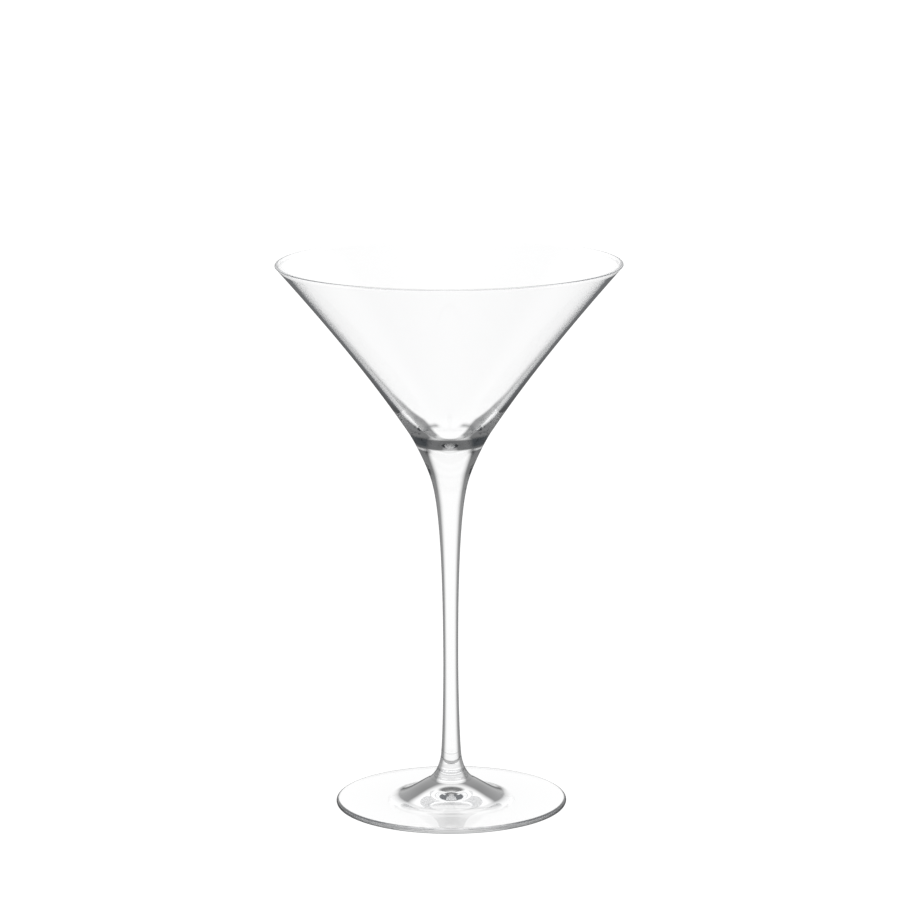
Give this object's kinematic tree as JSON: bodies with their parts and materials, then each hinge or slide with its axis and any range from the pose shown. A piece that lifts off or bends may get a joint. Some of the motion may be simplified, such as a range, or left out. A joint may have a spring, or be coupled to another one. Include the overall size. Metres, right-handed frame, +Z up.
{
  "type": "martini glass",
  "caption": "Clear cocktail glass with a wide conical bowl, a solid base that runs into a slim drawn stem, and a flat round foot with a low dome, hollow underneath.",
  "frame": {"origin": "centre of the plane that the foot rests on", "axes": "+Z up along the glass's axis of revolution, from the foot to the rim; the glass is round, so X and Y are interchangeable"},
  "size_m": [0.1092, 0.1092, 0.175],
  "materials": {
    "clear_glass": "fire polished, clear"
  },
  "bodies": {
    "root": {"bowl": "clear_glass", "stem": "clear_glass", "foot": "clear_glass"}
  },
  "joints": []
}
